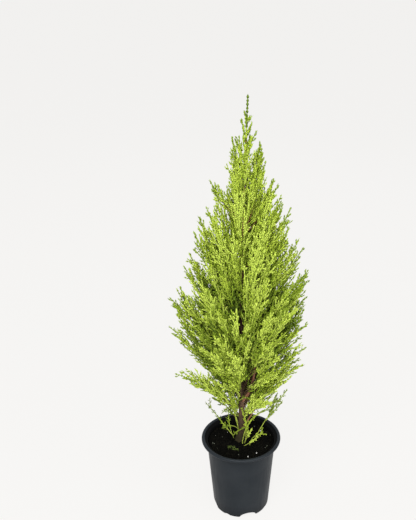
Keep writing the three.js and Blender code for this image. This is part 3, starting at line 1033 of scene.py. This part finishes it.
def unparted(shoots):
    """The shoots whose outer half stays clear of every parting."""
    row = np.arange(len(shoots.foot))
    crossing = [parted(shoots.at(row, np.full(len(row), share))) for share in (0.4, 0.55, 0.7, 0.85, 1.0)]
    return shoots.only(~np.any(crossing, axis=0))


# %% [markdown]
# The crown grows in two rounds: sprays on the limbs and the leader, then twiglets on limbs and sprays.
# The steeper the angle and the closer the spacing, the denser the plumes. Two rounds are enough, because
# the leaves cover the twiglets whole.

# %% Grow the crown
sprays = side_shoots(
    limbs, spacing=7.2 * MM, first=0.18, bare_tip=22 * MM, angle=0.45,
    size_from=spray_length, rise=0.10, seed=31, own_spray=True,
)
spike = side_shoots(
    leader, spacing=4.2 * MM, first=0.0, bare_tip=27 * MM, angle=0.62,
    size_from=leader_spray_length, rise=0.06, seed=33, own_spray=True,
)
sprays = unparted(joined(sprays, spike))
twiglets = unparted(side_shoots(
    joined(limbs, sprays), spacing=6.3 * MM, first=0.15, bare_tip=2.5 * MM, angle=0.66,
    size_from=twiglet_length, rise=0.05, seed=41,
))
limbs = joined(limbs, leader)
print(f"{len(limbs.foot)} limbs, {len(sprays.foot)} sprays, {len(twiglets.foot)} twiglets")
print(f"leafy length {limbs.length().sum() + sprays.length().sum() + twiglets.length().sum():.1f} m")

# %% [markdown]
# Young shoots crowd round the foot of the trunk: three that the frame has as parts of their own, and
# more beside them, up to where the crown begins. Each row gives three points of a shoot in millimetres,
# its foot, its middle and its tip, then the share of it that is bare, and the size and the tone of its
# leaves. These few stand alone against the pot, where a rule's luck would show, so they are listed one
# by one.

# %% Shoots at the trunk's foot
LOW_SHOOTS = [
    ((-10, 2, 119), (-12, 2, 125), (-13, 2, 130), 0.9, 3.0, "green"),
    ((-13, 2, 129), (-30, 0, 157), (-57, 0, 196), 0.45, 3.4, "green"),
    ((-21, 1, 142), (-27, 0, 151), (-35, 0, 164), 0.0, 4.4, "mid"),
    ((-48, 0, 186), (-50, 0, 193), (-50, 0, 203), 0.0, 3.2, "green"),
    ((-13, 2, 129), (-18, 0, 148), (-20, 0, 186), 0.3, 3.6, "mid"),
    ((-13, 2, 129), (-4, -8, 147), (6, -11, 155), 0.2, 3.8, "mid"),
    ((-4, -5, 150), (-13, -8, 195), (-17, -10, 242), 0.35, 4.2, "bright"),
    ((-5, -6, 160), (-10, -9, 186), (-11, -11, 222), 0.3, 4.2, "mid"),
    ((-6, -9, 180), (-14, -16, 206), (-19, -20, 228), 0.1, 4.8, "bright"),
    ((-6, -8, 186), (-12, -16, 220), (-14, -20, 252), 0.1, 5.0, "bright"),
    ((-7, -7, 190), (-6, -9, 200), (-3, -10, 213), 0.0, 4.6, "mid"),
    ((6, -9, 122), (8, -12, 160), (1, -12, 192), 0.35, 4.8, "bright"),
    ((-3, -8, 205), (9, -13, 214), (20, -14, 195), 0.05, 4.4, "mid"),
    ((6, -8, 135), (17, -10, 170), (34, -9, 186), 0.3, 4.8, "bright"),
    ((5, -10, 122), (11, -15, 142), (17, -17, 156), 0.45, 5.4, "lime"),
    ((4, -14, 121), (15, -19, 132), (27, -20, 143), 0.4, 5.6, "lime"),
    ((14, -14, 122), (28, -17, 146), (40, -18, 147), 0.5, 4.4, "bright"),
    ((30, -16, 146), (33, -16, 151), (34, -16, 158), 0.0, 3.6, "mid"),
    ((18, -8, 121), (46, -6, 178), (73, -4, 222), 0.5, 4.2, "mid"),
    ((40, -7, 166), (54, -8, 186), (66, -8, 204), 0.1, 4.6, "mid"),
    ((44, -6, 174), (52, -5, 196), (58, -4, 216), 0.1, 4.4, "green"),
    ((2, -12, 121), (4, -14, 140), (8, -15, 158), 0.8, 3.0, "green"),
    ((-4, -2, 186), (-17, -6, 190), (-31, -8, 181), 0.2, 4.2, "mid"),
    ((-4, -2, 188), (-20, -6, 198), (-38, -8, 206), 0.2, 4.2, "mid"),
    ((-4, 0, 190), (-28, -5, 206), (-52, -8, 222), 0.25, 4.2, "mid"),
    ((-4, 0, 186), (-38, -4, 216), (-75, -6, 234), 0.3, 4.2, "mid"),
    ((-2, -7, 206), (-9, -14, 232), (-10, -18, 262), 0.3, 4.0, "bright"),
    ((4, -5, 165), (16, -9, 196), (31, -10, 222), 0.25, 4.2, "bright"),
    ((4, -2, 172), (24, -4, 188), (44, -6, 198), 0.25, 4.2, "mid"),
    ((4, 0, 178), (30, -2, 204), (56, -4, 226), 0.25, 4.2, "mid"),
    ((4, -3, 176), (34, -8, 194), (63, -8, 207), 0.25, 4.4, "mid"),
    ((30, -6, 180), (44, -9, 192), (54, -10, 212), 0.1, 4.4, "mid"),
    ((-4, -3, 172), (-14, -8, 181), (-27, -9, 190), 0.25, 4.6, "mid"),
    ((4, 4, 140), (12, 8, 158), (22, 10, 176), 0.3, 4.2, "green"),
    ((4, 6, 150), (9, 10, 170), (14, 12, 196), 0.2, 4.4, "green"),
    ((3, 5, 168), (12, 22, 190), (20, 42, 222), 0.3, 4.0, "green"),
    ((-4, 5, 170), (-22, 16, 190), (-44, 24, 212), 0.3, 4.0, "green"),
    ((4, 5, 172), (26, 16, 190), (48, 26, 208), 0.3, 3.8, "mid"),
    ((-4, 6, 166), (-16, 24, 185), (-28, 40, 204), 0.3, 3.8, "mid"),
]
print(f"{len(LOW_SHOOTS)} shoots placed by hand")

# %% [markdown]
# The lowest bough of all is as thin as these shoots, and joins them. A bare red fork stands among them
# at the right of the trunk. The same rule as in the crown gives them twiglets, but short ones, so that
# the pale stems show between the leaves.

# %% Twiglets at the trunk's foot
LOWEST_BOUGH = (0.6, 3.2, "green")  # bare share, size and tone of its leaves
FORK = [(2, -5, 150), (17, -14, 183), (36, -14, 219)]  # foot, middle and tip in millimetres


def short_twiglet(left):
    """The shoots at the foot bear stubs, hardly longer low down than near the tip."""
    return 3.2 * MM + 0.08 * left


fork = through(*(np.array([point]) * MM for point in FORK))
paths = np.array([row[:3] for row in LOW_SHOOTS]) * MM
low_shoots = joined(through(paths[:, 0], paths[:, 1], paths[:, 2]), main_limbs.only([0]))
low_shoots.spray[:] = np.arange(len(low_shoots.foot))
low_bare, low_leaf_size, low_tones = zip(*[row[3:] for row in LOW_SHOOTS], LOWEST_BOUGH)
low_bare, low_leaf_size = np.array(low_bare), np.array(low_leaf_size) * MM
low_twiglets = side_shoots(
    low_shoots, spacing=4 * MM, first=low_bare, bare_tip=2 * MM, angle=0.75,
    size_from=short_twiglet, rise=0.1, seed=91,
)
print(f"{len(low_twiglets.foot)} twiglets on {len(low_shoots.foot)} shoots at the foot")

# %% [markdown]
# Wood. Each stem is a tube round its shoot: rings of points in the plane square to the shoot, joined
# by quads and closed by a cap at each end. All tubes of a kind are worked out together. Blender's own
# curves with a bevel would draw such tubes too, but their rings could not be counted beforehand.

# %% Tubes round shoots
def tubes(shoots, first, last, thick, thin, sides, rings):
    """Points and faces of a tapering tube round each shoot between two shares of its way."""
    count = len(shoots.foot)
    share = np.linspace(first, last, rings)[None, :] * np.ones((count, 1))
    row = np.arange(count)[:, None] * np.ones((1, rings), int)
    middle = shoots.at(row, share)
    across, over = frame_round(shoots.direction(row, share))
    turn = np.linspace(0, 2 * np.pi, sides, endpoint=False)
    ring = np.cos(turn)[:, None] * across[:, :, None] + np.sin(turn)[:, None] * over[:, :, None]
    thick, thin = np.broadcast_to(thick, count), np.broadcast_to(thin, count)
    radius = mix(thick[:, None], thin[:, None], np.linspace(0, 1, rings))
    points = middle[:, :, None] + radius[:, :, None, None] * ring
    start = (rings * sides * np.arange(count))[:, None, None]
    walls = (quads(rings, sides) + start).reshape(-1, 4)
    feet = (np.arange(sides)[::-1] + start[:, 0]).reshape(-1, sides)
    ends = (np.arange(sides) + (rings - 1) * sides + start[:, 0]).reshape(-1, sides)
    return points.reshape(-1, 3), [walls, np.concatenate([feet, ends])]


def splinters(shoots, thick):
    """Points and faces of a slim three-sided pyramid along each shoot, for the shortest twigs."""
    row = np.arange(len(shoots.foot))
    across, over = frame_round(shoots.direction(row, 0.0 * row))
    turn = np.linspace(0, 2 * np.pi, 3, endpoint=False)[:, None, None]
    ring = shoots.foot + thick * (np.cos(turn) * across + np.sin(turn) * over)
    points = np.concatenate([ring, shoots.tips()[None]]).transpose(1, 0, 2)
    corners = np.array([(2, 1, 0), (0, 1, 3), (1, 2, 3), (2, 0, 3)])
    return points.reshape(-1, 3), [(corners + 4 * row[:, None, None]).reshape(-1, 3)]


def gathered(*parts):
    """Several sets of points and faces as one set, with the corner numbers moved on."""
    points, faces, start = [], [], 0
    for part_points, part_faces in parts:
        part_points = np.reshape(part_points, (-1, 3))
        points.append(part_points)
        faces += [group + start for group in part_faces]
        start += len(part_points)
    return np.concatenate(points), faces


# %% [markdown]
# Cypress bark peels in long, thin, upright strips. Colour alone shows them from a distance, so the
# noise of the finish is stretched along the stem. The bark is nearly black with damp moss at the foot,
# and redder where the stem is young. A picture of bark would show more, but it would need a seam.

# %% Bark finish
BARKS = {  # furrows, flakes, and the ridges between
    "trunk_bark": ((0.028, 0.018, 0.011), (0.27, 0.175, 0.115), (0.125, 0.070, 0.042)),
    "red_bark": ((0.11, 0.042, 0.024), (0.52, 0.30, 0.19), (0.32, 0.14, 0.08)),
    "brown_bark": ((0.032, 0.020, 0.010), (0.19, 0.12, 0.055), (0.100, 0.058, 0.028)),
}
RED_WOOD = (0.42, 0.20, 0.085)
DAMP_MOSS = (0.017, 0.0145, 0.0045)
RED_FROM = 0.36  # height in metres where the bark starts to be young
RED_TO = 0.47
DAMP_TO = GROUND + 56 * MM  # the damp ends here,
DAMPEST = GROUND + 8 * MM  # and is full from here down


def bark_finish(name):
    """Strips of three browns: patchy, dark at the damp foot, and red where the stem is young."""
    dark, light, ridge = BARKS[name]
    finish = Finish(name, 0.85, 0.2)
    strips = finish.noise(900, 4, 0.6, finish.stretched((1, 1, 0.09)))
    patches = finish.noise(70, 3, vector=finish.stretched((1, 1, 0.5)))
    wood = finish.ramp(strips, [(0.3, dark), (0.55, ridge), (0.75, light)])
    patched = finish.blend(finish.spread(patches, 0.3, 0.7, 0, 0.7), wood, dark)
    _, height = finish.across_and_up()
    young = finish.blend(finish.spread(height, RED_FROM, RED_TO, 0, 0.8), patched, RED_WOOD)
    darkened = finish.spread(height, DAMP_TO, DAMPEST, 0, 0.94)
    finish.colour(finish.blend(darkened, young, DAMP_MOSS))
    finish.bump(strips, 0.7, 0.5 * MM)
    return finish.material


# %% [markdown]
# Near by, the strips stand out from the stem. The trunk is a grid of height by heading, and its radius
# gets ridges from ripples that are stretched along the trunk. The roots' flare shows as four soft
# buttresses at the foot. A displacement modifier would need the same fine grid, and it could not follow
# the flare.

# %% Bark relief on the stems
BARK_RINGS = 260
FLARE = 3.8 * MM  # of the trunk's roots, beyond its taper
FLARE_HEIGHT = 14 * MM
BURIED_FOOT = 4 * MM
SLENDER_TOP = 90 * MM  # towards its tip, over about this length, the stem thins to a fifth


def bark_tube(stem, low, high, flare, sides, seed):
    """Closed tube round an upright stem: taper, flare with buttresses, and long peeling ridges."""
    height = mix(low, high, np.linspace(0, 1, BARK_RINGS) ** 1.25)[:, None]
    turn = np.linspace(0, 2 * np.pi, sides, endpoint=False)[None, :]
    spread = np.exp(-(height - low) / FLARE_HEIGHT)
    slender = np.clip((high + 12 * MM - height) / SLENDER_TOP, 0.2, 1)
    smooth = stem.radius(height) * slender + flare * spread * (1 + 0.3 * np.cos(4 * turn))
    flat = round_axis(smooth, turn, 0.1 * height + 0 * turn)
    ridges = ripples(flat, 2.4 * MM, seed) + 0.6 * ripples(flat, 1.1 * MM, seed + 1)
    flakes = np.clip(ripples(flat * (1, 1, 2), 3.5 * MM, seed + 2) - 0.7, 0, 1)
    radius = smooth * (1 + 0.045 * ridges) + 0.5 * MM * flakes
    points = round_axis(radius, turn, 0 * radius) + stem.line(height[:, 0])[:, None]
    caps = np.stack([np.arange(sides)[::-1], np.arange(sides) + (BARK_RINGS - 1) * sides])
    return points.reshape(-1, 3), [quads(BARK_RINGS, sides), caps]


points, faces = bark_tube(trunk, trunk.low - BURIED_FOOT, trunk.high, FLARE, sides=48, seed=51)
trunk_piece = make_piece("trunk_bark", points, faces, bark_finish("trunk_bark"))
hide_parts("trunk")

second_tube = bark_tube(second, second.low, second.high, flare=0, sides=20, seed=61)
fork_tube = tubes(fork, 0, 1, 1.2 * MM, 0.7 * MM, sides=10, rings=16)
points, faces = gathered(second_tube, fork_tube)
second_piece = make_piece("second_stem_bark", points, faces, bark_finish("red_bark"))
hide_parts("second_stem")

# %% [markdown]
# The inner half of each limb has brown bark. Its outer half is still green, and so are the sprays and
# the twiglets. Leaves hide nearly all of this wood, so its tubes have few sides, and a twiglet is only
# a slim pyramid. Without any wood the leaves would hang in the air wherever the crown opens.

# %% Boughs and twigs
limb_girth = 0.5 * MM + 0.003 * limbs.length()
points, faces = tubes(limbs, 0, 0.5, limb_girth, 0.6 * limb_girth, sides=8, rings=14)
bough_piece = make_piece("bough_bark", points, faces, bark_finish("brown_bark"))
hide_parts(*(f"bough_{number}" for number in numbers))


def green_wood():
    """Young wood, streaked with yellow and deeper green."""
    finish = Finish("green_wood", 0.8, 0.1)
    streaks = finish.noise(700, 3, vector=finish.stretched((1, 1, 0.3)))
    finish.colour(finish.ramp(streaks, [(0.3, (0.16, 0.19, 0.03)), (0.7, (0.34, 0.42, 0.06))]))
    finish.bump(streaks, 0.3, 0.2 * MM)
    return finish.material


green = green_wood()
limb_ends = tubes(limbs, 0.49, 1, 0.6 * limb_girth, 0.35 * MM, sides=5, rings=12)
spray_girth = 0.45 * MM + 0.005 * sprays.length()
spray_wood = tubes(sprays, 0, 1, spray_girth, 0.25 * MM, sides=4, rings=5)
twig_wood = splinters(twiglets, 0.7 * MM)
points, faces = gathered(limb_ends, spray_wood, twig_wood)
make_piece("green_twigs", points, faces, green)

low_wood = tubes(low_shoots, 0, 1, 0.75 * MM, 0.35 * MM, sides=7, rings=14)
points, faces = gathered(low_wood, splinters(low_twiglets, 0.4 * MM))
foot_piece = make_piece("foot_twigs", points, faces, green)
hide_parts("basal_twig_1", "basal_twig_2", "basal_twig_3")

# %% [markdown]
# Leaves. Cypress leaves are small pointed scales in opposed pairs, each pair turned a right angle from
# the last, leaning forward along the twig. One leaf is a closed solid with four faces: a root, a point,
# and two shoulders that lie in from the ridge between them. So it is broad in its middle, it has a keel,
# and nothing flatter keeps its outline from every side. Instances of one leaf would be lighter to hold,
# but each leaf here has its own length and lean.

# %% Leaves in opposed pairs
LEAF_FACES = np.array([(0, 1, 2), (1, 0, 3), (2, 1, 3), (0, 2, 3)])
SHOULDER_AT = 0.45  # where a leaf is broadest; these three are shares of its length
HALF_WIDTH = 0.26
KEEL_DEPTH = 0.10


def leaves(shoots, first, spacing, size, lean, seed):
    """Corners of all leaves of the shoots as (leaf, corner, xyz), and the shoot that each stands on."""
    rng = np.random.default_rng(seed)
    clothed = shoots.length() * (1 - first)
    count = np.maximum((clothed / spacing).astype(int), 1)
    row, number = dealt(count)
    share = mix(first[row], 1, (number + 0.5) / count[row])
    turn = number * np.pi / 2 + 0.9 * row + rng.normal(0, 0.15, len(row))
    # Each place bears two leaves, the second half a turn round from the first.
    turn = np.stack([turn, turn + np.pi], 1).ravel()
    row, share = np.repeat(row, 2), np.repeat(share, 2)
    direction = shoots.direction(row, share)
    outward = off_to_a_side(direction, turn)
    root = shoots.at(row, share)
    tilt = (mix(lean, 0.6 * lean, share) + rng.normal(0, 0.08, len(row)))[:, None]
    leaf = np.cos(tilt) * direction + np.sin(tilt) * outward
    side = np.cross(outward, direction)
    keel = np.cross(leaf, side)
    size = (size[row] * rng.uniform(0.85, 1.15, len(row)) * mix(1, 0.8, share))[:, None]
    shoulder = root + size * (SHOULDER_AT * leaf - KEEL_DEPTH * keel)
    half_width = HALF_WIDTH * size * side
    corners = [root, shoulder + half_width, shoulder - half_width, root + size * leaf]
    return np.stack(corners, 1), row


# %% [markdown]
# Colour. Leaves come in five plain greens, and all the leaves of one green are joined into one piece.
# A leaf is too small to show a pattern, so the variety comes from the dealing of the greens. Two
# measures say where a shoot's tip lies: how near the crown's outline, and how far round to the front,
# where the lamps stand and the greens are painted light.

# %% Tones of the leaves
TONES = {
    "deep": (0.048, 0.080, 0.012),
    "green": (0.130, 0.198, 0.019),
    "mid": (0.245, 0.342, 0.028),
    "bright": (0.385, 0.495, 0.052),
    "lime": (0.520, 0.640, 0.100),
}
TONE_SHARES = (0.20, 0.25, 0.24, 0.19)  # of the shoots, from deep to bright, and lime has the rest
GREEN = list(TONES).index("green")
SHADE_DEPTH = 75 * MM  # so far inside the outline, a shoot is in full shade
NEAR_TRUNK = 45 * MM  # within it, one side of the trunk hardly differs from the other


def leaf_finish(name, colour):
    """A plain colour with a slight satin, set on the shader's own sockets."""
    finish = Finish(name, 0.8, 0.06)
    finish.shader.inputs["Base Color"].default_value = (*colour, 1)
    return finish.material


def from_axis(points):
    """How far points lie from the trunk's middle line, to the right and to the back."""
    return (points - trunk.line(points[:, 2]))[:, :2]


def openness(points):
    """1 on the crown's outline, less with depth below it."""
    away = np.linalg.norm(from_axis(points), axis=1)
    return 1 - (reach_at(points[:, 2]) - away) / SHADE_DEPTH


def lamp_side(points):
    """1 in front, on the lamps' side, -1 at the back, and nothing near the trunk, for the painted light."""
    away = from_axis(points)
    return -away[:, 1] / np.maximum(np.linalg.norm(away, axis=1), NEAR_TRUNK)


# %% [markdown]
# Growth near the outline is bright, and inside the crown it is deep green: partly older growth, and
# partly painted shade. Shoots in front, where the lamps stand, are dealt brighter greens and those at
# the back darker ones, as painted light and shade. Limbs, sprays and twiglets each add some luck, so
# whole sprays stand out from their neighbours. The lower crown is brighter and has the strongest
# contrast, and the upper crown is evenly bright. The very ends of the shoots round the outline, except
# those straight in front, are dealt a middling green as painted shade. The shoots are then ranked and
# dealt out in five shares. A colour attribute could hold the brightness itself, but five plain greens
# are enough for leaves of this size, and they leave every piece with one plain material.

# %% Deal the tones out
LIMB_LUCK, SPRAY_LUCK, OWN_LUCK = 0.10, 0.20, 0.05
SIDE_WEIGHT = 0.45
EVEN_FROM, EVEN_TO = 0.38, 0.50  # heights in metres between which the crown grows even
EVENNESS = 0.8
BRIGHT_RANK = 0.91  # the upper crown draws near to the brightness of this rank
# painted shade: the outline's ends away from the front are dealt this middling brightness
OUTLINE_SHADE = 0.74  # brightness of the outermost ends


def rising(value, start, end):
    """0 up to the start, 1 from the end on, and straight in between. The end may be the lower one."""
    return np.clip((value - start) / (end - start), 0, 1)


leafy = joined(twiglets, sprays, limbs)
rng = np.random.default_rng(71)
limb_number = np.where(leafy.spray < SPRAY_CODE, leafy.spray, leafy.spray // SPRAY_CODE)
limb_luck = rng.normal(size=SPRAY_CODE)[limb_number]
_, spray_number = np.unique(leafy.spray, return_inverse=True)
spray_luck = rng.normal(size=spray_number.max() + 1)[spray_number]
own_luck = rng.normal(size=len(leafy.foot))
open_air = openness(leafy.tips())
lamp_facing = lamp_side(leafy.tips())
height = leafy.tips()[:, 2]

# Darker greens deeper inside the crown, partly painted shade; brighter greens in front, on the lamps' side,
# as painted light.
brightness = np.minimum(open_air, 0.75) + SIDE_WEIGHT * np.maximum(lamp_facing, -0.35)
brightness += LIMB_LUCK * limb_luck + SPRAY_LUCK * spray_luck + OWN_LUCK * own_luck
brightness += 0.14 * rising(height, 0.50, 0.40) + 0.30 * rising(height, 0.28, 0.23)
evenness = EVENNESS * rising(height, EVEN_FROM, EVEN_TO)
brightness = mix(brightness, np.quantile(brightness, BRIGHT_RANK), evenness)
# Painted shade on the ends round the outline, except those straight in front.
outermost = rising(open_air, 0.80, 0.95) * rising(lamp_facing, 0.85, 0.55)
brightness = mix(brightness, OUTLINE_SHADE, 0.8 * outermost)
tone = np.searchsorted(np.quantile(brightness, np.cumsum(TONE_SHARES)), brightness)
tone[-1] = GREEN  # the leader's own leaves
print("shoots of each tone:", np.bincount(tone))

# %% [markdown]
# Leaves are a little longer on the stouter shoots, and longer again near the tip of the crown. They
# are drawn larger than the real ones, which are 2 to 4 mm long: real ones would take several times as
# many triangles, and would look the same from where the whole tree is in view. A leaf that would stand
# in a parting is left out.

# %% Clothe the shoots
LEAF_SPACING = 2.5 * MM  # between pairs
LOW_LEAF_SPACING = 2.1 * MM
LEAF_LEAN = 0.29  # radians from the twig
LOW_LEAF_LEAN = 0.6

kinds = (len(twiglets.foot), len(sprays.foot), len(limbs.foot))
bare = np.repeat((0.0, 0.1, 0.4), kinds)
leaf_size = np.repeat((5.3, 5.6, 5.8), kinds) * MM
leaf_size *= 1 + 0.18 * rising(height, 0.58, 0.66)
leaf_size[-1] *= 1.25  # the leader is stouter still
crown_corners, row = leaves(leafy, bare, LEAF_SPACING, leaf_size, LEAF_LEAN, 81)
clear = ~parted(crown_corners.mean(1))
crown_corners, crown_tone = crown_corners[clear], tone[row][clear]

low_leafy = joined(low_twiglets, low_shoots)
low_bare = np.append(np.zeros(len(low_twiglets.foot)), low_bare)
low_size = low_leaf_size[low_leafy.spray]
low_corners, row = leaves(low_leafy, low_bare, LOW_LEAF_SPACING, low_size, LOW_LEAF_LEAN, 82)
low_tone = np.array([list(TONES).index(tone) for tone in low_tones])[low_leafy.spray[row]]
corners = np.concatenate([crown_corners, low_corners])
leaf_tone = np.append(crown_tone, low_tone)
print(f"{len(corners)} leaves, {len(low_corners)} of them on the shoots at the foot")

# %% [markdown]
# Each green becomes one piece. A piece for each mass would cut through sprays that cross from one mass
# into the next, so all the masses of the frame give way to the leaves together.

# %% Leaves as pieces
masses = [f"foliage_{number}" for number in numbers]
masses += ["basal_foliage_1", "basal_foliage_2", "basal_foliage_3", "crown_tip", "second_tip"]
for number, (name, colour) in enumerate(TONES.items()):
    chosen = corners[leaf_tone == number]
    faces = (LEAF_FACES + 4 * np.arange(len(chosen))[:, None, None]).reshape(-1, 3)
    finish = leaf_finish(f"leaf_{name}", colour)
    piece = make_piece(f"leaves_{name}", chosen, [faces], finish)
    if name == "lime":
        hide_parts(*masses)
